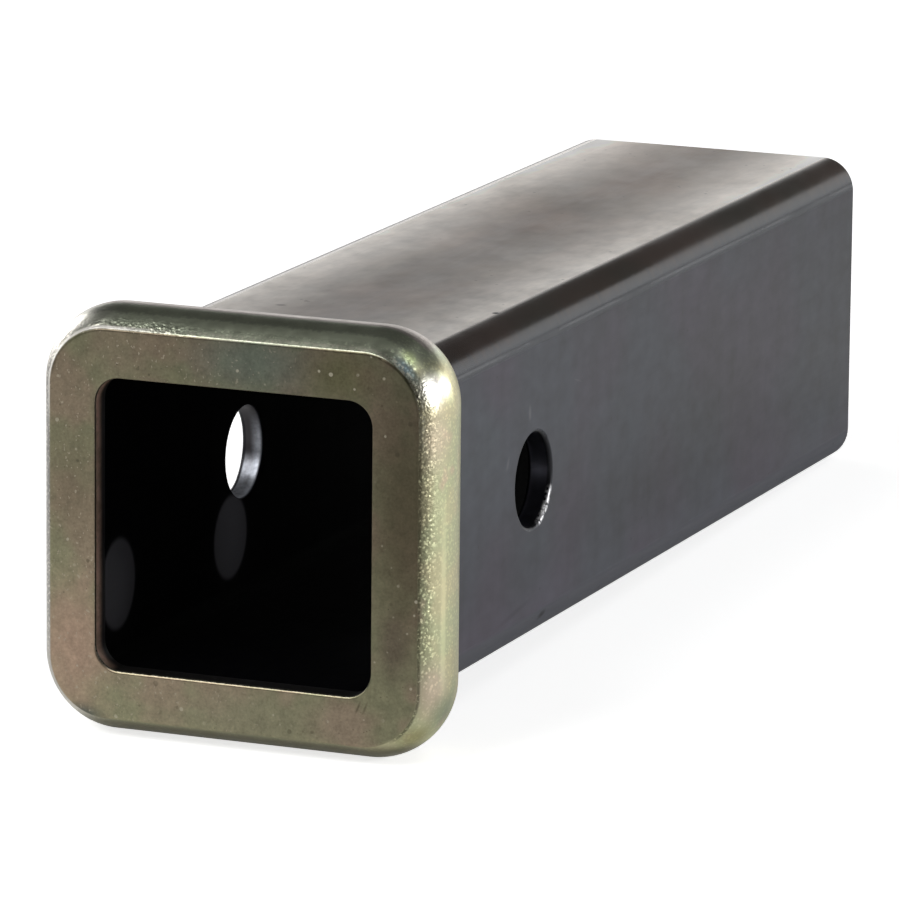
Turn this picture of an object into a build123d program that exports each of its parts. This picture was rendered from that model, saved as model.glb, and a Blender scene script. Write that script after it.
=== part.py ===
from build123d import *
import os

# Receiver tube of a trailer hitch, in millimetres.
# Origin: on the pin hole's axis, midway between the tube's side walls.
# +X along the pin, +Y from the open mouth towards the tube's rear end, +Z up.

# Square tube
tube_width = 60.3
tube_wall = 4.4
tube_corner_radius = 6.3
tube_length = 228.6
tube_edge_break = 0.4

# Pin hole through both side walls, its setback measured from the collar's front face
pin_hole_diameter = 17.0
pin_hole_edge_radius = 0.7
pin_setback = 63.5

# Forged collar around the tube's mouth, its wall measured at the crown of its flank
collar_wall = 7.4
collar_depth = 14.6
crown_setback = 8.0
front_draft = 3.4
rear_draft = 1.6
front_edge_radius = 0.8
rear_edge_radius = 1.3

# Lip over the tube's end, and the mouth through it
lip_thickness = 4.2
mouth_corner_radius = 4.5
mouth_edge_radius = 0.5

# Play between the tube and the collar's socket, on each side
socket_clearance = 0.05

# Sections worked out from the sizes above
tube_bore = tube_width - 2 * tube_wall
smallest_bore_corner = 0.5
tube_bore_corner_radius = max(tube_corner_radius - tube_wall, smallest_bore_corner)
socket_width = tube_width + 2 * socket_clearance
socket_corner_radius = tube_corner_radius + socket_clearance
crown_width = socket_width + 2 * collar_wall
crown_corner_radius = socket_corner_radius + collar_wall
front_width = crown_width - 2 * front_draft
front_corner_radius = crown_corner_radius - front_draft

# Places along the tube
face_y = -pin_setback
seat_y = face_y + lip_thickness
crown_y = face_y + crown_setback
collar_rear_y = face_y + collar_depth
tube_rear_y = seat_y + tube_length

# How far a cutting solid runs past what it cuts
overrun = 5.0


def square_section(width, corner_radius, place_y):
    """Rounded square across the tube's line, at place_y, facing +Y."""
    across = Plane(origin=(0, place_y, 0), x_dir=(1, 0, 0), z_dir=(0, 1, 0))
    return across * RectangleRounded(width, width, corner_radius)


def square_bar(width, corner_radius, start_y, end_y):
    """Solid bar of rounded square section, from start_y to end_y."""
    return extrude(square_section(width, corner_radius, start_y), amount=end_y - start_y)


def pin_hole():
    """Round bar that cuts the pin hole through both side walls."""
    return Rot(0, 90, 0) * Cylinder(pin_hole_diameter / 2, tube_width + 2 * overrun)


def pin_hole_rims(tube):
    """The two edges where the pin hole meets the tube's side faces."""
    side_faces = tube.faces().filter_by(Axis.X).sort_by(Axis.X)
    outermost = [side_faces[0], side_faces[-1]]
    return [edge for face in outermost for edge in face.inner_wires().edges()]


def make_receiver_tube():
    """Square tube with its ends cut square and the pin hole through its sides."""
    outside = square_bar(tube_width, tube_corner_radius, seat_y, tube_rear_y)
    bore = square_bar(tube_bore, tube_bore_corner_radius, seat_y - overrun, tube_rear_y + overrun)
    tube = outside - bore
    rear_end = tube.faces().sort_by(Axis.Y)[-1]
    tube = chamfer(rear_end.outer_wire().edges(), tube_edge_break)
    tube -= pin_hole()
    return fillet(pin_hole_rims(tube), pin_hole_edge_radius)


def flank_section(inner_x):
    """Section of the collar's rim in the XY plane, from inner_x out to its flank.

    The flank is two arcs that meet along Y at the crown: one falls away to the
    front face and the other to the rear face, and both edges are rounded over.
    """
    crown = (crown_width / 2, crown_y)
    front_corner = (crown_width / 2 - front_draft, face_y)
    rear_corner = (crown_width / 2 - rear_draft, collar_rear_y)
    outline = [
        Line((inner_x, face_y), front_corner),
        TangentArc(crown, front_corner, tangent=(0, -1)),
        TangentArc(crown, rear_corner, tangent=(0, 1)),
        Line(rear_corner, (inner_x, collar_rear_y)),
        Line((inner_x, collar_rear_y), (inner_x, face_y)),
    ]
    section = make_face(outline)
    front_vertex = section.vertices().sort_by_distance(Vertex(*front_corner))[0]
    section = fillet(front_vertex, front_edge_radius)
    rear_vertex = section.vertices().sort_by_distance(Vertex(*rear_corner))[0]
    return fillet(rear_vertex, rear_edge_radius)


def collar_blank():
    """The collar before it is bored: its rim swept round the corners of a solid core."""
    rim_inset = front_corner_radius / 2
    core_inset = rim_inset / 2
    path = square_section(front_width, front_corner_radius, face_y).wire()
    rim = sweep(flank_section(front_width / 2 - rim_inset), path=path)
    core_width = front_width - 2 * core_inset
    core = square_bar(core_width, front_corner_radius - core_inset, face_y, collar_rear_y)
    return rim + core


def make_collar():
    """Forged ring with a mouth flush with the tube's bore and a socket for the tube's end."""
    mouth = square_bar(tube_bore, mouth_corner_radius, face_y - overrun, collar_rear_y + overrun)
    socket = square_bar(socket_width, socket_corner_radius, seat_y, collar_rear_y + overrun)
    collar = collar_blank() - mouth
    front_face = collar.faces().sort_by(Axis.Y)[0]
    collar = fillet(front_face.inner_wires().edges(), mouth_edge_radius)
    return collar - socket


os.makedirs("parts", exist_ok=True)
export_step(make_receiver_tube(), "parts/receiver_tube.step")
export_step(make_collar(), "parts/collar.step")
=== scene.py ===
"""Looks of the receiver tube: raw mill steel, a yellow zinc plated collar and a plain studio."""

import logging
import math
from dataclasses import dataclass, field
from enum import Enum
from functools import reduce
from typing import Any, Union

import bpy
from mathutils import Matrix, Vector


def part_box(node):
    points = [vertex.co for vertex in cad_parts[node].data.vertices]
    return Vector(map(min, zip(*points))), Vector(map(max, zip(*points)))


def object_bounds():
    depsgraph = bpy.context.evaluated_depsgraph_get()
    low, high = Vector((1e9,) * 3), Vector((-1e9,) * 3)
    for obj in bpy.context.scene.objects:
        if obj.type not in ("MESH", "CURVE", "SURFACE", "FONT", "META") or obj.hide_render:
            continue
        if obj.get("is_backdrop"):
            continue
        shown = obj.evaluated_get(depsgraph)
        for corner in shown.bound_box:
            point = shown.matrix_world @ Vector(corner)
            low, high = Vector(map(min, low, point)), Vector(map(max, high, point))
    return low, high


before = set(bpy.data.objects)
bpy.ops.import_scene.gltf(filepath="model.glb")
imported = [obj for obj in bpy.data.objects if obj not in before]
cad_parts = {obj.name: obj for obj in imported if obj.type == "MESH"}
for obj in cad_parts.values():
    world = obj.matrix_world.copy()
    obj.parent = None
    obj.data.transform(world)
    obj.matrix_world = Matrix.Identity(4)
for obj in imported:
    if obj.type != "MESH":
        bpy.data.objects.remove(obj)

LOG = logging.getLogger("receiver_tube")
MM = 0.001

Colour = tuple[float, float, float, float]
Triple = tuple[float, float, float]
Number = Union[float, "Value"]

WHITE: Colour = (1.0, 1.0, 1.0, 1.0)


def shown(red: float, green: float, blue: float) -> Colour:
    """Opaque linear colour from three display values of 0 to 255.

    Args:
        red: Red as a display shows it.
        green: Green as a display shows it.
        blue: Blue as a display shows it.

    Returns:
        The same colour in linear light, with full alpha.
    """

    def to_linear(level: float) -> float:
        """Linear light of one display value."""
        part = level / 255.0
        return part / 12.92 if part <= 0.04045 else ((part + 0.055) / 1.055) ** 2.4

    return (to_linear(red), to_linear(green), to_linear(blue), 1.0)


@dataclass
class Value:
    """A number that travels along a shader link, with arithmetic written as Python."""

    tree: Any
    socket: Any

    def math(self, operation: str, *others: Number, clamp: bool = False) -> "Value":
        """Adds one Math node whose first input is this value.

        Args:
            operation: The Math node's operation.
            others: Its other inputs, as numbers or values.
            clamp: Whether the result is held between 0 and 1.

        Returns:
            The node's result.
        """
        return math_node(self.tree, operation, self, *others, clamp=clamp)

    def __add__(self, other: Number) -> "Value":
        """This value plus another."""
        return self.math("ADD", other)

    __radd__ = __add__

    def __sub__(self, other: Number) -> "Value":
        """This value less another."""
        return self.math("SUBTRACT", other)

    def __rsub__(self, other: Number) -> "Value":
        """A number less this value."""
        return math_node(self.tree, "SUBTRACT", other, self)

    def __mul__(self, other: Number) -> "Value":
        """This value times another."""
        return self.math("MULTIPLY", other)

    __rmul__ = __mul__

    def __truediv__(self, other: Number) -> "Value":
        """This value over another."""
        return self.math("DIVIDE", other)

    def __rtruediv__(self, other: Number) -> "Value":
        """A number over this value."""
        return math_node(self.tree, "DIVIDE", other, self)

    def __pow__(self, other: Number) -> "Value":
        """This value raised to a power."""
        return self.math("POWER", other)

    def size(self) -> "Value":
        """This value without its sign."""
        return self.math("ABSOLUTE")

    def at_most(self, other: Number) -> "Value":
        """The smaller of this value and another."""
        return self.math("MINIMUM", other)

    def at_least(self, other: Number) -> "Value":
        """The larger of this value and another."""
        return self.math("MAXIMUM", other)

    def held(self) -> "Value":
        """This value held between 0 and 1."""
        return self.math("ADD", 0.0, clamp=True)

    def swing(self, amount: float) -> "Value":
        """This pattern centred on 0 in place of 0.5, times an amount."""
        return (self - 0.5) * amount

    def ramp(self, start: float, end: float) -> "Value":
        """Smooth step of this value.

        Args:
            start: Where the step begins, at 0.
            end: Where the step ends, at 1; below start, the step runs the other way.

        Returns:
            A value between 0 and 1.
        """
        part = ((self - start) / (end - start)).held()
        return part * part * (3.0 - 2.0 * part)


def math_node(tree: Any, operation: str, *inputs: Number, clamp: bool = False) -> Value:
    """Adds one Math node.

    Args:
        tree: The node tree it goes in.
        operation: The node's operation.
        inputs: Its inputs, as numbers or values.
        clamp: Whether the result is held between 0 and 1.

    Returns:
        The node's result.
    """
    node = tree.nodes.new("ShaderNodeMath")
    node.operation = operation
    node.use_clamp = clamp
    for socket, given in zip(node.inputs, inputs):
        feed(tree, socket, given)
    return Value(tree, node.outputs[0])


def feed(tree: Any, socket: Any, given: Any) -> None:
    """Gives a socket its link or its constant.

    Args:
        tree: The node tree.
        socket: The input to set.
        given: A Value or an output socket to link, or a constant.
    """
    if isinstance(given, Value):
        tree.links.new(given.socket, socket)
    elif isinstance(given, bpy.types.NodeSocket):
        tree.links.new(given, socket)
    else:
        socket.default_value = given


def add_node(tree: Any, kind: str, settings: dict[str, Any], inputs: dict[Any, Any]) -> Any:
    """Adds a node of any kind.

    Args:
        tree: The node tree it goes in.
        kind: The node's type.
        settings: Its properties, set before its sockets.
        inputs: Values or links of its sockets, by name or number.

    Returns:
        The node.
    """
    made = tree.nodes.new(kind)
    for key, setting in settings.items():
        setattr(made, key, setting)
    for key, given in inputs.items():
        feed(tree, made.inputs[key], given)
    return made


class Place(Enum):
    """The axes of the part's own frame."""

    X = 0
    Y = 1
    Z = 2


@dataclass(frozen=True)
class Mark:
    """One soft-edged patch, stain or scratch at a known place.

    centre is its middle in millimetres, reach its half length along each of its own axes, and
    turn how these are turned, in radians. It is full within core, which is a share of its reach,
    and is laid in its tone at its strength.
    """

    centre: Triple
    reach: Triple
    turn: Triple = (0.0, 0.0, 0.0)
    core: float = 0.1
    strength: float = 1.0
    tone: Colour = WHITE


@dataclass
class Surface:
    """One material under construction, with its patterns in the part's frame in millimetres."""

    name: str
    material: Any = field(init=False)
    tree: Any = field(init=False)
    shader: Any = field(init=False)
    position: Any = field(init=False)

    def __post_init__(self) -> None:
        """Makes the empty material and finds its parts."""
        self.material = bpy.data.materials.new(self.name)
        self.material.use_nodes = True
        self.tree = self.material.node_tree
        self.shader = self.tree.nodes["Principled BSDF"]
        coordinates = self.node("ShaderNodeTexCoord", {}, {})
        scaling = {0: coordinates.outputs["Object"], "Scale": 1 / MM}
        self.position = self.node("ShaderNodeVectorMath", {"operation": "SCALE"}, scaling).outputs[0]

    def node(self, kind: str, settings: dict[str, Any], inputs: dict[Any, Any]) -> Any:
        """Adds a node of any kind to this material, as add_node does."""
        return add_node(self.tree, kind, settings, inputs)

    def axes(self) -> tuple[Value, Value, Value]:
        """The surface point's coordinates.

        Returns:
            Its x, y and z, in millimetres.
        """
        parts = self.node("ShaderNodeSeparateXYZ", {}, {0: self.position})
        x, y, z = (Value(self.tree, parts.outputs[place.value]) for place in Place)
        return x, y, z

    def mapped(self, centre: Triple, turn: Triple, stretch: Triple) -> Any:
        """The surface point as seen from a shifted, turned and stretched frame.

        Args:
            centre: The frame's origin, in millimetres.
            turn: How its axes are turned, in radians.
            stretch: The length of its units along each axis, in millimetres.

        Returns:
            The point's output socket.
        """
        inputs = {"Vector": self.position, "Location": centre, "Rotation": turn, "Scale": stretch}
        return self.node("ShaderNodeMapping", {"vector_type": "TEXTURE"}, inputs).outputs[0]

    def noise(
        self,
        size: float,
        stretch: Triple = (1.0, 1.0, 1.0),
        detail: float = 1.0,
        rough: float = 0.5,
        shift: float = 0.0,
    ) -> Value:
        """Noise laid through the part.

        Args:
            size: Length of one wave, in millimetres.
            stretch: How much longer the wave is along each axis.
            detail: Number of finer waves added to it.
            rough: Strength of the finer waves.
            shift: Distance by which the pattern is slid, to tell it from others.

        Returns:
            A value near 0.5 on average.
        """
        moved = self.mapped((shift, 2 * shift, 3 * shift), (0.0, 0.0, 0.0), stretch)
        made = self.node(
            "ShaderNodeTexNoise",
            {"noise_type": "FBM", "normalize": True},
            {"Vector": moved, "Scale": 1 / size, "Detail": detail, "Roughness": rough},
        )
        return Value(self.tree, made.outputs[0])

    def cells(self, size: float, shift: float = 0.0) -> Value:
        """Distance to the nearest of many scattered points.

        Args:
            size: Usual distance between the points, in millimetres.
            shift: Distance by which the pattern is slid.

        Returns:
            The distance, in parts of size.
        """
        moved = self.mapped((shift, shift, shift), (0.0, 0.0, 0.0), (1.0, 1.0, 1.0))
        made = self.node("ShaderNodeTexVoronoi", {}, {"Vector": moved, "Scale": 1 / size})
        return Value(self.tree, made.outputs["Distance"])

    def specks(self, spacing: float, shift: float, blur: float, blur_shift: float) -> Value:
        """Small scattered specks of uneven size.

        Args:
            spacing: Usual distance between them, in millimetres.
            shift: Distance by which they are slid.
            blur: Wave length of the noise that changes their size, in millimetres.
            blur_shift: Distance by which that noise is slid.

        Returns:
            1 in a speck and 0 outside it.
        """
        uneven = self.cells(spacing, shift) + 0.15 - self.noise(blur, detail=0.0, shift=blur_shift) * 0.4
        return uneven.ramp(0.07, 0.0)

    def blend(self, base: Any, top: Any, amount: Number) -> Any:
        """Mixes two colours.

        Args:
            base: Colour or link where amount is 0.
            top: Colour or link where amount is 1.
            amount: The share of top.

        Returns:
            The mixed colour's output socket.
        """
        inputs = {"Factor": amount, 6: base, 7: top}
        return self.node("ShaderNodeMix", {"data_type": "RGBA"}, inputs).outputs[2]

    def tint(self, colour: Any, strength: Number) -> Any:
        """Brightens or darkens a colour.

        Args:
            colour: The colour, or its link.
            strength: What it is multiplied by.

        Returns:
            The result's output socket.
        """
        given = colour[:3] if isinstance(colour, tuple) else colour
        inputs = {0: given, "Scale": strength}
        return self.node("ShaderNodeVectorMath", {"operation": "SCALE"}, inputs).outputs[0]

    def mark(self, mark: Mark) -> Value:
        """Where one mark lies.

        Args:
            mark: The mark.

        Returns:
            The mark's strength in its core and 0 outside it.
        """
        placed = self.mapped(mark.centre, mark.turn, mark.reach)
        far = self.node("ShaderNodeVectorMath", {"operation": "LENGTH"}, {0: placed})
        return Value(self.tree, far.outputs["Value"]).ramp(1.0, mark.core) * mark.strength

    def strongest(self, *marks: Mark) -> Value:
        """The strongest of several marks at each point."""
        return reduce(Value.at_least, [self.mark(mark) for mark in marks])

    def patched(self, colour: Any, *marks: Mark) -> Any:
        """Lays marks over a colour, one after the other.

        Args:
            colour: The colour, or its link.
            marks: The marks, each laid in its own tone.

        Returns:
            The result's output socket.
        """
        for mark in marks:
            colour = self.blend(colour, mark.tone, self.mark(mark))
        return colour

    def relief(self, height: Value) -> Any:
        """Adds relief to the surface.

        Args:
            height: The relief, in millimetres.

        Returns:
            The normal's output socket.
        """
        return self.node("ShaderNodeBump", {}, {"Strength": 1.0, "Distance": MM, "Height": height}).outputs[0]

    def finish(self, sockets: dict[str, Any]) -> Any:
        """Sets the shader's own sockets.

        Args:
            sockets: Values or links, by the socket's name.

        Returns:
            The finished material.
        """
        for key, given in sockets.items():
            feed(self.tree, self.shader.inputs[key], given)
        return self.material


def dress(node_name: str, material: Any) -> None:
    """Gives a carried-over piece its material.

    Args:
        node_name: The piece's name.
        material: The material it takes.
    """
    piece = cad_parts[node_name]
    piece.data.materials.clear()
    piece.data.materials.append(material)
    LOG.info("%s dressed in %s", node_name, material.name)


@dataclass
class ReceiverTube:
    """The square tube, as it comes from the mill, the punch and the saw, in millimetres."""

    node_name: str = "receiver_tube"
    corner_radius: float = 6.3
    wall: float = 4.4
    hole_radius: float = 8.5
    half_width: float = field(init=False)
    half_flat: float = field(init=False)
    half_bore: float = field(init=False)
    rear_end: float = field(init=False)

    def __post_init__(self) -> None:
        """Works out the tube's places from the frame."""
        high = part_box(self.node_name)[1] / MM
        self.half_width, self.rear_end = high.x, high.y
        self.half_flat = self.half_width - self.corner_radius
        self.half_bore = self.half_width - self.wall

    def build(self) -> None:
        """Dresses the tube."""
        dress(self.node_name, MillSteel(self).material())


class MillSteel:
    """Dark mill steel, burnished and with a painted highlight towards the edges of the tube's upper flat."""

    BLUE = shown(69, 72, 81)
    VIOLET = shown(73, 68, 80)
    GREEN = shown(66, 76, 79)
    UMBER = shown(78, 68, 59)
    RUST = shown(84, 70, 60)
    BURNISHED_HIGHLIGHT = shown(198, 192, 185)
    BAND = shown(61, 58, 52)
    RED_BAND = shown(70, 60, 53)
    HAZE = shown(54, 57, 62)
    LOWER_CORNER = shown(84, 85, 91)
    SCRATCH_AND_HIGHLIGHT = shown(150, 151, 154)
    STAINED = shown(38, 36, 35)
    UNLIT_BORE = shown(6, 6, 9)
    LIT_BORE = shown(66, 65, 70)
    PUNCHED = shown(66, 64, 66)
    PUNCHED_HIGHLIGHT = shown(172, 176, 184)
    NEAR_WALL = shown(62, 62, 70)
    THROAT = shown(40, 40, 44)
    BURR_HIGHLIGHT = shown(206, 206, 208)
    SAWN = shown(128, 129, 132)

    # Above the roughness at which the denoiser leaves a reflection out of its colour pass
    SMOOTHEST = 0.29
    SPECULAR = 0.38

    def __init__(self, tube: ReceiverTube) -> None:
        """Lays the patterns and the masks that the layers share.

        Args:
            tube: The tube, for its sizes.
        """
        self.tube = tube
        self.skin = Surface("raw_steel")
        self.x, self.y, self.z = self.skin.axes()
        self.across, self.updown = self.x.size(), self.z.size()
        self.lay_patterns()
        self.lay_masks()
        self.lay_marks()

    def lay_patterns(self) -> None:
        """Noises, from slow drifts to fine grain."""
        skin = self.skin
        self.clouds = skin.noise(30.0, (1.0, 2.0, 1.0), detail=2.0, rough=0.55)
        self.hue = skin.noise(22.0, (1.0, 1.6, 1.6), shift=31.0)
        self.flow = skin.noise(9.0, (1.0, 3.2, 1.0), detail=3.0, shift=13.0)
        self.falls = skin.noise(4.5, (1.0, 1.0, 6.0), detail=2.0, shift=7.0)
        self.blots = skin.noise(3.5, (1.0, 1.8, 1.0), detail=2.0, rough=0.6, shift=27.0)
        self.streak = skin.noise(1.3, (8.0, 1.0, 8.0), shift=19.0)
        self.grain = skin.noise(0.8, shift=3.0)
        self.rolling = skin.noise(0.7, (1.0, 45.0, 1.0), rough=0.6)
        self.saw = skin.noise(0.45, (60.0, 1.0, 1.0), rough=0.6, shift=17.0)

    def lay_masks(self) -> None:
        """Masks of the tube's regions, from its sizes."""
        tube, across = self.tube, self.across
        off_axis = (self.y * self.y + self.z * self.z) ** 0.5 - tube.hole_radius
        outside = across.ramp(tube.half_width - 1.05, tube.half_width - 0.65)
        sharp_corner = tube.half_flat + tube.half_width
        self.top = self.z.ramp(tube.half_width - 0.15, tube.half_width - 0.03)
        self.corner = (across + self.updown).ramp(sharp_corner, sharp_corner + 0.8)
        self.bore = across.at_least(self.updown).ramp(tube.half_bore + 0.7, tube.half_bore + 0.1)
        self.hole = off_axis.ramp(0.3, 0.1) * across.ramp(tube.half_bore + 0.25, tube.half_bore + 0.85)
        self.throat = off_axis.ramp(0.65, 0.3) * outside
        self.rim = off_axis.ramp(1.0, 0.5) * outside
        self.cut = self.y.ramp(tube.rear_end - 0.16, tube.rear_end - 0.03)
        self.upper = self.z.ramp(0.0, 5.0)
        self.turned_up = (self.z - across + self.streak.swing(7.0)).ramp(-4.2, -0.4)
        self.turned_away = self.x.ramp(0.0, -10.0) * (self.z - across).ramp(0.8, 2.4) * self.corner * 0.7
        # Burnish with a painted highlight: brighter towards the upper flat's edges and on the upper part of
        # the left corner.
        self.burnish_and_highlight = ((across / tube.half_flat) ** 2.0 * self.top).at_least(self.turned_away)

    def lay_marks(self) -> None:
        """Scratches, stains and lit rounds at the places where the photograph shows them."""
        skin, wall = self.skin, -self.tube.half_bore
        top = side = self.tube.half_width
        self.scratches = skin.strongest(
            Mark((side, -2.2, 12.5), (1.0, 0.9, 2.1), (0.05, 0.0, 0.0), strength=0.4),
            Mark((side, -12.4, 5.4), (1.0, 0.8, 1.8), (-0.5, 0.0, 0.0), strength=0.3),
            Mark((side, 21.0, 14.0), (1.0, 2.6, 0.2), (-0.3, 0.0, 0.0), core=0.4, strength=0.14),
        )
        self.stains = skin.strongest(
            Mark((-13.3, -12.6, top), (1.3, 0.5, 1.0), (0.0, 0.0, 0.35), core=0.4),
            Mark((-10.7, -7.4, top), (0.5, 0.6, 1.0), core=0.4, strength=0.6),
            Mark((23.9, -3.3, top), (0.9, 1.0, 1.0), core=0.4),
            Mark((side, 5.0, -25.6), (2.0, 2.6, 1.0), (0.2, 0.0, 0.0), strength=0.7),
            Mark((side, -9.0, -22.4), (1.0, 12.0, 0.8), (0.12, 0.0, 0.0), strength=0.3),
        )
        self.lit_rounds = self.bore * skin.strongest(
            Mark((wall, -6.2, -14.5), (1.5, 7.8, 8.3), core=0.84, strength=0.75),
            Mark((wall, -54.0, -12.7), (1.5, 7.6, 8.8), core=0.84),
        )

    def sides(self) -> Any:
        """Colour of the flat sides: blue-grey, clouded, lighter low down, and darker to the rear by painted
        shade.

        Returns:
            The colour's output socket.
        """
        tone = 0.67 + self.clouds.swing(0.8) + self.falls.swing(0.6) + self.blots.swing(0.7)
        # Painted shade: the y term makes the sides darker to the rear.
        tone = tone + self.rolling.swing(0.1) - self.y * 0.0016 + self.z.ramp(-12.0, -26.0) * 0.4
        colour = self.skin.blend(self.BLUE, self.VIOLET, self.hue.ramp(0.4, 0.62))
        colour = self.skin.blend(colour, self.GREEN, self.clouds.ramp(0.55, 0.75) * 0.7)
        return self.skin.tint(colour, tone)

    def upper_flat(self) -> Any:
        """Colour of the upper flat: brown, burnished and with a painted highlight to its edges, and painted
        lighter to the left and the rear.

        Returns:
            The colour's output socket.
        """
        tone = 1.36 + self.flow.swing(1.9) * (1.0 - self.burnish_and_highlight) + self.blots.swing(1.2)
        # Painted light: the x term and the y terms below make the upper flat lighter to the left and to the
        # rear.
        tone = tone + self.rolling.swing(0.3) - self.x * 0.0035
        tone = tone + self.y.at_least(0.0) * 0.0045 + self.y.ramp(100.0, 160.0) * 0.25
        colour = self.skin.blend(self.UMBER, self.RUST, self.hue.ramp(0.45, 0.65))
        colour = self.skin.blend(colour, self.BURNISHED_HIGHLIGHT, self.burnish_and_highlight)
        return self.skin.tint(colour, tone)

    def corner_band(self) -> Any:
        """Colour of the upper corners: a brown band with a streaky bluish haze below it.

        Returns:
            The colour's output socket.
        """
        tone = 0.66 + self.y.ramp(-50.0, 10.0) * 0.34 + self.y.ramp(60.0, 150.0) * 0.14
        brown = self.skin.blend(self.BAND, self.RED_BAND, self.hue.ramp(0.35, 0.6))
        haze = self.skin.tint(self.HAZE, 1.0 + self.streak.swing(1.1))
        return self.skin.blend(haze, self.skin.tint(brown, tone), self.turned_up)

    def marked(self, colour: Any) -> Any:
        """Draws a painted highlight as a thin line below the corner band, and the scratches, the stains and
        the pits.

        Args:
            colour: The colour of the outside.

        Returns:
            The marked colour's output socket.
        """
        # Painted highlight: a thin light line just below the upper corner band on each side.
        over_flat = self.updown - self.tube.half_flat
        line = over_flat.ramp(0.8, 1.15) * over_flat.ramp(1.7, 1.3) * self.upper
        side = self.across.ramp(self.tube.half_width - 0.55, self.tube.half_width - 0.35)
        line = line * side * self.flow.ramp(0.2, 0.55)
        bright = (line * 0.24).at_least(self.scratches * 0.6)
        colour = self.skin.blend(colour, self.SCRATCH_AND_HIGHLIGHT, bright)
        pitted = self.skin.noise(9.0, detail=0.0, shift=5.0).ramp(0.5, 0.6)
        pits = self.skin.cells(3.4).ramp(0.12, 0.05) * pitted
        return self.skin.blend(colour, self.STAINED, self.stains.at_least(pits * 0.6))

    def hole_wall(self) -> Any:
        """Colour of the punched walls: the far one has a painted highlight on its inner edge and its foot,
        the near one is dark.

        Returns:
            The colour's output socket.
        """
        into_wall = self.across - self.tube.half_bore
        # Painted highlight on the far wall of the pin hole.
        inner_edge_highlight = into_wall.ramp(2.85, 0.85) * self.z.ramp(7.0, -1.0)
        foot_highlight = self.z.ramp(-1.0, -5.0) * 0.6
        bright = inner_edge_highlight.at_least(foot_highlight) * (0.35 + self.grain)
        far_wall = self.skin.blend(self.PUNCHED, self.PUNCHED_HIGHLIGHT, bright)
        near_wall = self.skin.tint(self.NEAR_WALL, 0.3 + self.falls * 1.4)
        return self.skin.blend(far_wall, near_wall, self.x.ramp(-5.0, 5.0))

    def opened(self, colour: Any) -> Any:
        """Colours the bore, the pin hole with its burr under a painted highlight, and the sawn end.

        Args:
            colour: The colour of the outside.

        Returns:
            The whole tube's colour socket.
        """
        skin = self.skin
        inside = skin.blend(self.UNLIT_BORE, self.LIT_BORE, self.lit_rounds)
        colour = skin.blend(colour, inside, self.bore)
        colour = skin.blend(colour, self.hole_wall(), self.hole)
        colour = skin.blend(colour, self.THROAT, self.throat)
        rim_x = self.tube.half_width - 0.35
        # The burr below the pin hole carries a painted highlight.
        burr = skin.mark(Mark((rim_x, 6.0, -6.4), (1.5, 5.8, 2.4), (0.75, 0.0, 0.0), core=0.6))
        colour = skin.blend(colour, self.BURR_HIGHLIGHT, burr * self.rim * self.grain.ramp(0.3, 0.55))
        return skin.blend(colour, skin.tint(self.SAWN, 0.8 + self.saw * 0.4), self.cut)

    def colour(self) -> Any:
        """The tube's colour, from its flats to its openings.

        Returns:
            The colour's output socket.
        """
        skin = self.skin
        colour = skin.blend(self.sides(), self.upper_flat(), self.top.at_least(self.turned_away))
        band = self.corner * self.upper * 0.9 * (1.0 - self.turned_away)
        colour = skin.blend(colour, self.corner_band(), band)
        colour = skin.blend(colour, self.LOWER_CORNER, self.corner * (1.0 - self.upper))
        return self.opened(self.marked(colour))

    def metal(self) -> Value:
        """How bare the metal is: half bare on the flats, less on the corners, more where it is cut.

        Returns:
            A value between 0 and 1.
        """
        outside = 0.5 - self.corner * 0.2 + self.burnish_and_highlight * 0.3
        openings = self.bore.at_least(self.hole * 0.8).at_least(self.cut * 0.85)
        return (outside.at_least(openings) - self.lit_rounds).held()

    def dullness(self) -> Value:
        """Roughness: even on the flats, smooth on the upper corners, coarse in the bore.

        Returns:
            A value between 0 and 1.
        """
        flats = 0.32 + self.clouds.swing(0.16) + self.falls.swing(0.08) + self.rolling.swing(0.06)
        flats = (flats + self.flow.swing(0.1) * self.top).at_least(self.SMOOTHEST)
        corners = self.corner * (self.upper * (0.5 + self.turned_up * 0.07) - 0.4)
        openings = self.bore * 0.6 + self.hole * 0.06 + self.cut * 0.08
        return (flats - corners + openings + self.stains * 0.1).held()

    def height(self) -> Value:
        """Relief of the rolled skin, the waves of the upper flat and the saw's lines.

        Returns:
            The height, in millimetres.
        """
        fine = self.rolling * 0.002 + self.grain * 0.002
        return fine + self.blots * 0.01 + self.flow * self.top * 0.01 + self.saw * self.cut * 0.08

    def material(self) -> Any:
        """Joins the layers into one material.

        Returns:
            The finished material.
        """
        return self.skin.finish(
            {
                "Base Color": self.colour(),
                "Metallic": self.metal(),
                "Roughness": self.dullness(),
                "Specular IOR Level": self.SPECULAR,
                "Normal": self.skin.relief(self.height()),
            }
        )


@dataclass
class Collar:
    """The forged ring around the tube's mouth, in millimetres."""

    node_name: str = "collar"
    mouth_width: float = 51.5
    half_mouth: float = field(init=False)
    face: float = field(init=False)
    rear: float = field(init=False)

    def __post_init__(self) -> None:
        """Works out the collar's places from the frame."""
        low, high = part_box(self.node_name)
        self.face, self.rear = low.y / MM, high.y / MM
        self.half_mouth = self.mouth_width / 2

    def build(self) -> None:
        """Dresses the collar."""
        dress(self.node_name, YellowZinc(self).material())


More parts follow.
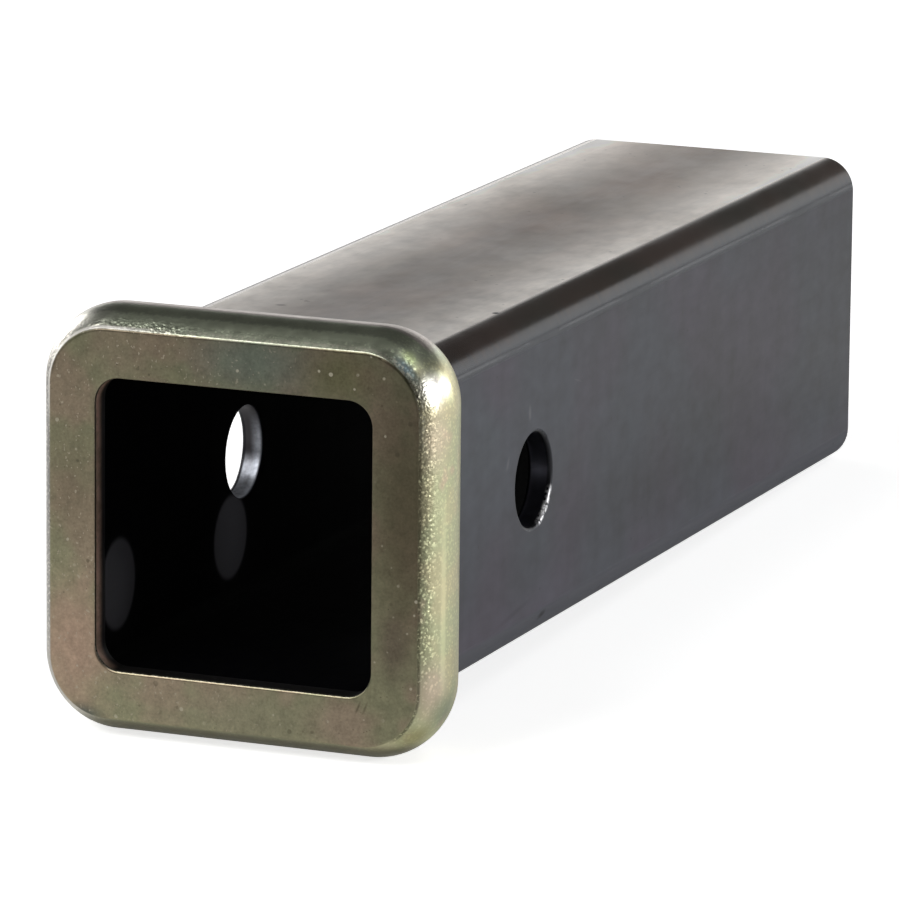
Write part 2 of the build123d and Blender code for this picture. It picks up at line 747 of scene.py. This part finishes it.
class YellowZinc:
    """Yellow zinc over a shot-blasted forging, with its face ground flat."""

    BROWN_FILM = shown(136, 123, 104)
    GREEN_FILM = shown(127, 125, 100)
    FLECK = shown(186, 176, 156)
    SPECK = shown(195, 188, 168)
    PIT = shown(66, 60, 50)
    DUST = shown(60, 56, 46)
    NICK = shown(78, 70, 56)
    CREAM = shown(208, 202, 164)
    GREEN_CREAM = shown(196, 198, 160)
    PINK_CREAM = shown(208, 190, 164)
    UPPER_FLANK = shown(206, 214, 190)
    LEFT_FLANK_HIGHLIGHT = shown(228, 222, 216)
    SHADED_LOWER_FLANK = shown(120, 116, 88)
    CREST_HIGHLIGHT = shown(220, 206, 202)
    BLUE_REFLECTION = shown(124, 142, 146)
    EDGE_WEAR_AND_HIGHLIGHT = shown(208, 206, 188)
    SHADED_EDGE = shown(62, 56, 44)
    CRISP_HIGHLIGHT = shown(236, 232, 224)
    BACK = shown(150, 144, 128)
    RUBBED_HIGHLIGHT = shown(166, 162, 150)
    MOUTH_EDGE = shown(72, 60, 48)
    PINK_LIP = shown(222, 182, 162)
    BROWN_LIP = shown(190, 160, 138)
    LIP_SPECK = shown(176, 158, 144)
    LIP_SHADE = shown(14, 12, 12)

    # Above the roughness at which the denoiser leaves a reflection out of its colour pass
    SMOOTHEST = 0.285
    BRIGHTEST = 1.3
    EIGHTH_TURN = 0.785

    def __init__(self, collar: Collar) -> None:
        """Lays the patterns and the masks that the layers share.

        Args:
            collar: The collar, for its sizes.
        """
        self.collar = collar
        self.skin = Surface("yellow_zinc")
        self.x, self.y, self.z = self.skin.axes()
        self.behind = self.y - collar.face
        self.lay_patterns()
        self.lay_masks()

    def lay_patterns(self) -> None:
        """Noises and scattered spots, from slow drifts to fine grain."""
        skin = self.skin
        self.film = skin.noise(8.0, detail=2.0, rough=0.6, shift=21.0)
        self.mottle = skin.noise(2.4, detail=2.0, rough=0.7, shift=9.0)
        self.peel = skin.noise(0.6, shift=4.0)
        self.grain = skin.noise(0.5, rough=0.65)
        self.beads = skin.cells(0.66, 3.0)
        self.specks = skin.specks(2.1, 1.0, 1.4, 8.0)

    def lay_masks(self) -> None:
        """Masks of the collar's regions, from its sizes."""
        x, z, behind, collar = self.x, self.z, self.behind, self.collar
        reach = x.size().at_least(z.size())
        self.ground = behind.ramp(0.25, 0.08)
        self.mouth = reach.ramp(collar.half_mouth + 0.9, collar.half_mouth + 0.2)
        self.off_face = 1.0 - self.ground
        self.flank_only = self.off_face * (1.0 - self.mouth)
        self.lip = self.mouth * behind.ramp(0.4, 0.7)
        self.top = z.ramp(31.0, 34.0)
        self.smooth = (behind.ramp(1.5, 3.4) * 0.75).at_least(z.ramp(-14.0, -26.0) * 0.85)
        # Painted highlight along the upper left front edge.
        self.crisp_highlight = behind.ramp(0.8, 0.5) * self.flank_only * x.ramp(-10.0, -22.0) * z.ramp(14.0, 24.0)
        # A painted blue reflection on the flank's upper right corner.
        corner = Mark((31.4, -62.4, 31.8), (4.2, 2.0, 1.6), (0.0, self.EIGHTH_TURN, 0.0))
        self.patch = (self.skin.mark(corner) * self.off_face * (0.8 + self.mottle * 0.6)).held()

    def film_marks(self) -> tuple[Mark, ...]:
        """Where the film on the face turns green, olive, pink or dark, and two nicks by the mouth.

        Returns:
            The marks, in the order in which they are laid.
        """
        front = self.collar.face
        lean = (0.0, 0.4, 0.0)
        return (
            Mark((4.0, front, 31.0), (17.0, 9.0, 9.0), strength=0.85, tone=shown(118, 126, 114)),
            Mark((-20.0, front, 31.0), (10.0, 9.0, 9.0), strength=0.6, tone=shown(140, 128, 108)),
            Mark((-30.0, front, 6.0), (9.0, 9.0, 16.0), strength=0.6, tone=shown(116, 106, 88)),
            Mark((-30.0, front, -22.0), (10.0, 9.0, 18.0), strength=0.9, tone=shown(152, 130, 112)),
            Mark((2.0, front, -32.0), (22.0, 9.0, 8.0), strength=0.7, tone=shown(130, 126, 104)),
            Mark((20.0, front, -31.0), (9.0, 9.0, 7.0), strength=0.7, tone=shown(142, 128, 110)),
            Mark((32.0, front, 6.0), (10.0, 9.0, 34.0), strength=0.9, tone=shown(98, 90, 72)),
            Mark((30.0, front, -16.0), (4.0, 9.0, 9.0), strength=0.6, tone=shown(96, 82, 74)),
            Mark((20.0, front, 30.0), (10.0, 9.0, 7.0), strength=0.7, tone=shown(122, 118, 88)),
            Mark((-28.6, front, -34.2), (6.0, 4.0, 3.0), strength=0.85, tone=shown(62, 72, 72)),
            Mark((23.6, front, -27.4), (0.3, 2.0, 1.8), lean, strength=0.6, tone=self.NICK),
            Mark((24.9, front, -27.4), (0.3, 2.0, 1.8), lean, strength=0.5, tone=self.NICK),
        )

    def flank_marks(self) -> tuple[Mark, ...]:
        """Where the film on the flank turns pink, green or olive, and two painted highlights: a green-yellow
        streak and the brightest spot.

        Returns:
            The marks, in the order in which they are laid.
        """
        lean = (0.0, self.EIGHTH_TURN, 0.0)
        return (
            Mark((36.3, -60.5, 20.0), (5.0, 6.0, 9.0), strength=0.7, tone=shown(216, 198, 174)),
            Mark((36.3, -61.0, -24.0), (5.0, 6.0, 8.0), strength=0.8, tone=shown(206, 188, 168)),
            Mark((36.5, -57.5, -28.0), (5.0, 5.0, 5.0), strength=0.7, tone=shown(150, 160, 134)),
            Mark((33.0, -61.0, -32.5), (5.0, 5.0, 4.0), strength=0.7, tone=shown(158, 150, 104)),
            # Painted highlight: a green-yellow streak on the upper right corner.
            Mark((31.8, -61.8, 34.4), (3.4, 3.0, 2.0), lean, strength=0.8, tone=shown(206, 226, 136)),
            # Painted highlight: the flank's brightest spot.
            Mark((35.0, -60.0, 28.4), (4.0, 5.0, 4.4), strength=0.85, tone=shown(238, 236, 234)),
        )

    def front(self) -> Any:
        """Colour of the ground face: a film from brown to green, with specks, pits, flecks and dust, under
        painted light that is brighter to the lower left.

        Returns:
            The colour's output socket.
        """
        skin = self.skin
        drift = skin.noise(11.0, detail=2.0, rough=0.6, shift=2.0)
        colour = skin.blend(self.BROWN_FILM, self.GREEN_FILM, drift.ramp(0.4, 0.6))
        colour = skin.patched(colour, *self.film_marks())
        # Painted light: the face is lighter to the lower left and darker to the upper right.
        colour = skin.tint(colour, 1.04 - (self.x + self.z * 1.2) * 0.0066)
        colour = skin.tint(colour, 1.0 + self.mottle.swing(0.8) + self.grain.swing(0.5))
        pits = skin.specks(2.5, 6.0, 1.6, 12.0)
        flecks = skin.noise(0.55, (1.0, 1.0, 1.3), shift=33.0).ramp(0.68, 0.75)
        dust = skin.cells(1.3, 14.0).ramp(0.14, 0.04)
        colour = skin.blend(colour, self.SPECK, self.specks * self.film.ramp(0.4, 0.6) * 0.6)
        colour = skin.blend(colour, self.PIT, pits * self.film.ramp(0.6, 0.4) * 0.5)
        colour = skin.blend(colour, self.FLECK, flecks * self.x.ramp(26.0, -20.0) * 0.6)
        return skin.blend(colour, self.DUST, dust * self.mottle.ramp(0.4, 0.6) * 0.5)

    def flank_film(self) -> Any:
        """Colour of the flank's film: cream on the right, greyer above, paler on the left and along the top
        of its rear edge by painted highlights, and dark olive below by painted shade.

        Returns:
            The colour's output socket.
        """
        skin, x, z = self.skin, self.x, self.z
        cream = skin.blend(self.CREAM, self.GREEN_CREAM, self.film.ramp(0.38, 0.6))
        colour = skin.blend(cream, self.PINK_CREAM, self.film.ramp(0.6, 0.75))
        colour = skin.blend(colour, self.UPPER_FLANK, self.top * 0.9)
        colour = skin.patched(colour, *self.flank_marks())
        # Painted highlights on the left flank and along the top of the rear edge, and painted shade on the
        # lowest part of the flank.
        crest_highlight = z.ramp(33.0, 35.0) * self.behind.ramp(6.4, 7.6)
        colour = skin.blend(colour, self.LEFT_FLANK_HIGHLIGHT, x.ramp(-20.0, -32.0) * 0.85)
        colour = skin.blend(colour, self.CREST_HIGHLIGHT, crest_highlight * 0.8)
        return skin.blend(colour, self.SHADED_LOWER_FLANK, z.ramp(-33.0, -35.5))

    def flank_light_and_shade(self) -> Value:
        """Painted light and shade on the flank: dim beside the face, painted glints from its beads, a painted
        highlight at its crown.

        Returns:
            What the film's colour is multiplied by.
        """
        z, behind = self.z, self.behind
        set_back = behind.ramp(0.5, 2.6)
        upper_edge = self.top * self.x.ramp(32.0, 26.0)
        # Painted light and shade: darker beside the face and high up, lighter low down and towards the crown.
        tone = 0.44 + z.ramp(6.0, -12.0) * 0.24 + z.ramp(-14.0, -26.0) * 0.1
        tone = tone * (1.0 - set_back) + set_back * 0.96
        tone = tone + behind.ramp(3.0, 5.5) * 0.18
        dots = (self.beads + self.peel.swing(0.8) + self.grain.swing(0.9)).ramp(0.48, 0.12)
        glints = self.peel.swing(0.8) + dots * 1.15 - 0.3
        tone = tone * (1.0 + glints * (1.0 - self.smooth) * (1.0 - upper_edge * 0.7))
        # Painted light and shade along the upper right edge.
        wavy = behind + self.mottle.swing(2.5)
        tone = tone * (1.0 + upper_edge * (wavy.ramp(4.2, 2.6) * 0.9 - 0.2))
        # Painted highlight: a narrow bright line along the right flank.
        shine = behind.ramp(3.9, 4.6) * behind.ramp(5.8, 5.1) * z.ramp(14.0, -4.0) * z.ramp(-27.0, -20.0)
        return (tone + shine * 0.25).at_most(self.BRIGHTEST)

    def flank(self) -> Any:
        """Colour of the flank, with a painted blue reflection at its upper right corner.

        Returns:
            The colour's output socket.
        """
        colour = self.skin.tint(self.flank_film(), self.flank_light_and_shade())
        blue = self.skin.tint(self.BLUE_REFLECTION, 0.7 + self.beads.ramp(0.5, 0.2) * 0.8)
        return self.skin.blend(colour, blue, self.patch)

    def edged(self, colour: Any) -> Any:
        """Draws the wear and a painted highlight on the upper edge round the face, painted shade on its right
        edge, and the duller back.

        Args:
            colour: The colour of the flank and the face.

        Returns:
            The edged colour's output socket.
        """
        skin, behind, grain = self.skin, self.behind, self.grain
        # Wear with a painted highlight on the upper edge round the face, and painted shade on its right edge.
        wear_and_highlight = behind.ramp(1.1, 0.7) * self.flank_only * grain.ramp(0.4, 0.6) * self.z.ramp(16.0, 30.0)
        shaded = behind.ramp(0.75, 0.4) * self.flank_only * grain.ramp(0.2, 0.5) * self.x.ramp(28.0, 32.0)
        back = self.y.ramp(self.collar.rear - 1.6, self.collar.rear - 0.6)
        colour = skin.blend(colour, self.EDGE_WEAR_AND_HIGHLIGHT, wear_and_highlight * 0.7)
        colour = skin.blend(colour, self.SHADED_EDGE, shaded * 0.7)
        return skin.blend(colour, self.BACK, back * 0.5)

    def opened(self, colour: Any) -> Any:
        """Colours the mouth: a rub with a painted highlight on its lower edge, and the lip, brown on the left
        and darkened elsewhere and deeper in by painted shade.

        Args:
            colour: The colour of the outside.

        Returns:
            The result's output socket.
        """
        skin = self.skin
        # A rub with a painted highlight on the mouth's lower edge.
        rub_and_highlight = skin.tint(self.RUBBED_HIGHLIGHT, self.grain.ramp(0.35, 0.6) * 0.9 + 0.2)
        rub_and_highlight = skin.blend(self.MOUTH_EDGE, rub_and_highlight, self.z.ramp(-20.0, -25.0))
        colour = skin.blend(colour, rub_and_highlight, self.mouth * self.off_face * (1.0 - self.lip))
        lip = skin.blend(self.PINK_LIP, self.BROWN_LIP, self.mottle.ramp(0.4, 0.6))
        lip = skin.blend(lip, self.LIP_SPECK, self.specks)
        # Painted shade: the lip darkens deeper into the mouth, and all round but on the left.
        lip = skin.blend(lip, self.LIP_SHADE, self.behind.ramp(0.8, 3.4))
        lip = skin.blend(self.LIP_SHADE, lip, self.x.ramp(-22.0, -25.0))
        return skin.blend(colour, lip, self.lip)

    def colour(self) -> Any:
        """The collar's colour, from its flank and face to its mouth.

        Returns:
            The colour's output socket.
        """
        colour = self.skin.blend(self.flank(), self.front(), self.ground)
        colour = self.opened(self.edged(colour))
        return self.skin.blend(colour, self.CRISP_HIGHLIGHT, self.crisp_highlight * 0.9)

    def metal(self) -> Value:
        """How bare the metal is: whole but for the lip, the painted blue reflection and the painted highlight
        on the upper left front edge.

        Returns:
            A value between 0 and 1.
        """
        return (1.0 - self.lip * 0.7 - self.patch * 0.7 - self.crisp_highlight * 0.7).held()

    def dullness(self) -> Value:
        """Roughness: even, a little smoother on the flank and rougher on the lip.

        Returns:
            A value between 0 and 1.
        """
        film = 0.36 + self.mottle.swing(0.2) + self.film.swing(0.12) - self.specks * 0.1
        film = film - self.off_face * 0.04 + self.lip * 0.2 + self.patch * 0.15
        return film.at_least(self.SMOOTHEST).held()

    def height(self) -> Value:
        """Relief of the film, and of the blasted skin where the flank isn't polished.

        Returns:
            The height, in millimetres.
        """
        x, z = self.x, self.z
        blasted = (1.0 - z.ramp(31.0, 33.0) * x.ramp(-14.0, -2.0)).at_least(x.ramp(25.0, 29.0) * 0.6)
        blasted = blasted * self.off_face * (1.0 - self.lip) * (1.0 - self.smooth) * (1.0 - self.patch)
        blasted = blasted * (1.0 - x.ramp(-28.0, -32.0) * z.ramp(28.0, 22.0) * 0.85)
        peened = (self.peel * 0.09 + self.beads * 0.035) * blasted
        return self.mottle * 0.03 + self.grain * 0.01 + peened

    def material(self) -> Any:
        """Joins the layers into one material.

        Returns:
            The finished material.
        """
        return self.skin.finish(
            {
                "Base Color": self.colour(),
                "Metallic": self.metal(),
                "Roughness": self.dullness(),
                "Normal": self.skin.relief(self.height()),
            }
        )


@dataclass(frozen=True)
class Softbox:
    """One soft lamp that looks at the middle of the part, its sizes in metres."""

    name: str
    direction: Triple
    distance: float
    width: float
    height: float
    radiance: float

    def build(self, target: Vector) -> None:
        """Hangs the lamp.

        Args:
            target: The point that it looks at.
        """
        towards = Vector(self.direction).normalized()
        lamp = bpy.data.lights.new(self.name, "AREA")
        lamp.shape = "RECTANGLE"
        lamp.size = self.width
        lamp.size_y = self.height
        lamp.energy = self.radiance * math.pi * self.width * self.height
        stand = bpy.data.objects.new(self.name, lamp)
        stand.location = target + towards * self.distance
        stand.rotation_euler = towards.to_track_quat("Z", "Y").to_euler()
        bpy.context.scene.collection.objects.link(stand)
        LOG.info("%s hung", self.name)


@dataclass(frozen=True)
class WhiteFloor:
    """White paint that glows a little where it is seen, more so far away, and keeps its shadows."""

    paint: Colour = (0.8, 0.8, 0.8, 1.0)
    roughness: float = 0.9
    glow: float = 0.74
    mirrored_glow: float = 0.2
    full_glow_from: float = 600.0
    full_glow_at: float = 1600.0

    def material(self) -> Any:
        """Joins the layers into one material.

        Returns:
            The finished material.
        """
        paint = Surface("white_floor")
        path = paint.node("ShaderNodeLightPath", {}, {})
        names = ("Is Camera Ray", "Is Glossy Ray", "Is Transmission Ray")
        seen, glossy, through = (Value(paint.tree, path.outputs[name]) for name in names)
        across, along, _ = paint.axes()
        far = ((across * across + along * along) ** 0.5).ramp(self.full_glow_from, self.full_glow_at)
        full = self.glow + far * (1.0 - self.glow)
        glow = (seen * full).at_least(glossy.at_least(through) * self.mirrored_glow)
        return paint.finish(
            {
                "Base Color": self.paint,
                "Roughness": self.roughness,
                "Specular IOR Level": 0.0,
                "Emission Color": glow,
                "Emission Strength": 1.0,
            }
        )


@dataclass
class Studio:
    """White floor, low bright horizon and soft lamps around a dark room, in metres and degrees."""

    floor_reach: float = 12.0
    horizon_top: float = 16.0
    horizon_blur: float = 1.5
    horizon_light: float = 1.05
    horizon_sides: float = 0.3
    room_light: float = 0.05
    lamps: tuple[Softbox, ...] = (
        Softbox("key_softbox", (-0.42, -0.60, 0.68), 1.1, 0.8, 0.6, 4.5),
        Softbox("right_softbox", (0.97, 0.05, 0.22), 1.2, 0.30, 0.60, 6.5),
        Softbox("right_head", (0.961, 0.067, 0.260), 1.2, 0.09, 0.09, 60.0),
        Softbox("rear_right_softbox", (0.70, 0.66, 0.24), 1.2, 0.22, 0.26, 7.0),
        Softbox("rear_right_head", (0.717, 0.676, 0.170), 1.2, 0.08, 0.08, 50.0),
        Softbox("upper_right_strip", (0.56, -0.08, 0.82), 1.1, 0.12, 0.44, 5.8),
        Softbox("left_softbox", (-0.85, 0.45, 0.25), 1.2, 0.5, 0.5, 3.6),
        Softbox("left_front_softbox", (-0.88, -0.37, 0.30), 1.2, 0.3, 0.3, 4.0),
    )

    def floor(self) -> None:
        """Lays the floor under the collar's edge and the tube's rear end."""
        collar_low, collar_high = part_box("collar")
        tube_low, tube_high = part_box("receiver_tube")
        foot = Vector((0.0, (collar_low.y + collar_high.y) / 2, collar_low.z))
        heel = Vector((0.0, tube_high.y, tube_low.z))
        slope = math.atan2(heel.z - foot.z, heel.y - foot.y)
        bpy.ops.object.select_all(action="DESELECT")
        bpy.ops.mesh.primitive_plane_add(size=self.floor_reach, location=foot, rotation=(slope, 0, 0))
        floor = bpy.context.object
        floor.name = "floor"
        floor.data.materials.append(WhiteFloor().material())
        floor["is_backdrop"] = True
        LOG.info("floor laid")

    def room(self) -> None:
        """Lights the room: a white band up to the horizon's top and a dim grey above it."""
        world = bpy.data.worlds.new("studio_room")
        bpy.context.scene.world = world
        world.use_nodes = True
        tree = world.node_tree
        coordinates = add_node(tree, "ShaderNodeTexCoord", {}, {})
        parts = add_node(tree, "ShaderNodeSeparateXYZ", {}, {0: coordinates.outputs["Generated"]})
        path = add_node(tree, "ShaderNodeLightPath", {}, {})
        rise = Value(tree, parts.outputs[Place.Z.value])
        rear = Value(tree, parts.outputs[Place.Y.value])
        seen = Value(tree, path.outputs["Is Camera Ray"])
        low = math.sin(math.radians(self.horizon_top - self.horizon_blur))
        high = math.sin(math.radians(self.horizon_top + self.horizon_blur))
        band = rise.ramp(high, low) * rear.ramp(-self.horizon_sides, self.horizon_sides)
        lit = band * (self.horizon_light - self.room_light) + self.room_light
        background = tree.nodes["Background"]
        feed(tree, background.inputs["Color"], WHITE)
        feed(tree, background.inputs["Strength"], lit.at_least(seen))

    def build(self) -> None:
        """Sets up the floor, the room and the lamps."""
        self.floor()
        self.room()
        low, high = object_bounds()
        for lamp in self.lamps:
            lamp.build((low + high) / 2)


@dataclass
class Viewpoint:
    """The photograph's camera, solved from the outlines of the tube and the collar."""

    azimuth: float = 22.26
    elevation: float = 12.40
    roll: float = 0.55
    distance: float = 1.25554
    lens: float = 294.5
    sensor: float = 36.0
    nearest: float = 0.05
    farthest: float = 50.0
    image_width: float = 900.0
    mouth_pixel: tuple[float, float] = (231.72, 537.76)

    def axes(self) -> tuple[Vector, Vector, Vector]:
        """The camera's own directions.

        Returns:
            Unit vectors to its right, upwards, and back from the part.
        """
        turn, rise, roll = (math.radians(angle) for angle in (self.azimuth, self.elevation, self.roll))
        back = Vector((math.sin(turn) * math.cos(rise), -math.cos(turn) * math.cos(rise), math.sin(rise)))
        level = (-back).cross(Vector((0, 0, 1))).normalized()
        upright = back.cross(level)
        right = level * math.cos(roll) + upright * math.sin(roll)
        up = upright * math.cos(roll) - level * math.sin(roll)
        return right, up, back

    def build(self) -> None:
        """Places the camera so that the mouth's centre falls on its pixel."""
        right, up, back = self.axes()
        collar_low, collar_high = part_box("collar")
        mouth = (collar_low + collar_high) / 2
        mouth.y = collar_low.y
        per_pixel = self.distance * self.sensor / (self.lens * self.image_width)
        across = (self.mouth_pixel[0] - self.image_width / 2) * per_pixel
        above = (self.image_width / 2 - self.mouth_pixel[1]) * per_pixel
        data = bpy.data.cameras.new("camera")
        data.lens = self.lens
        data.sensor_width = self.sensor
        data.clip_start, data.clip_end = self.nearest, self.farthest
        camera = bpy.data.objects.new("camera", data)
        turned = Matrix((right, up, back)).transposed().to_4x4()
        place = mouth + back * self.distance - right * across - up * above
        camera.matrix_world = Matrix.Translation(place) @ turned
        bpy.context.scene.collection.objects.link(camera)
        bpy.context.scene.camera = camera
        LOG.info("camera placed")


def main() -> None:
    """Builds the part's looks, the studio and the camera."""
    logging.basicConfig(level=logging.INFO, format="%(name)s: %(message)s")
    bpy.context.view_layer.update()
    Viewpoint().build()
    ReceiverTube().build()
    Collar().build()
    Studio().build()
    bpy.context.scene.view_settings.view_transform = "Standard"


if __name__ == "__main__":
    main()
